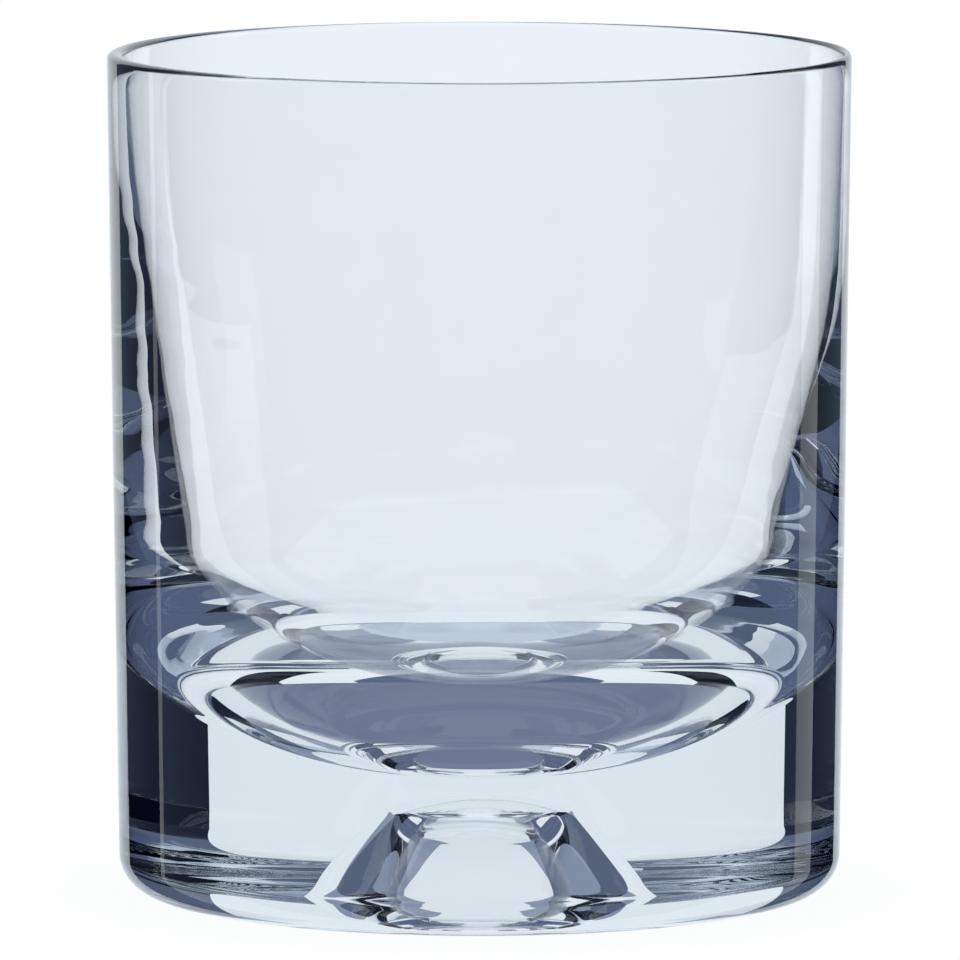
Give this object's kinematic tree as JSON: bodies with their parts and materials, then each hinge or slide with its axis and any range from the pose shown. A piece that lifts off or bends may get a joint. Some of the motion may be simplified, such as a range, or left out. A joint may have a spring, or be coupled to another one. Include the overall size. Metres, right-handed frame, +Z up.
{
  "type": "whiskey tumbler",
  "caption": "Heavy-based whiskey tumbler in clear glass: nearly straight wall with a thin rounded lip, deep rounded bowl inside, very thick base with a hollow beneath.",
  "frame": {"origin": "middle of the resting plane under the base", "axes": "+Z up along the glass's own axis, from the base to the lip; the glass is round, so X and Y are equal"},
  "size_m": [0.0838, 0.0838, 0.095],
  "materials": {
    "clear_glass": "polished"
  },
  "bodies": {
    "root": {"tumbler": "clear_glass"}
  },
  "joints": []
}
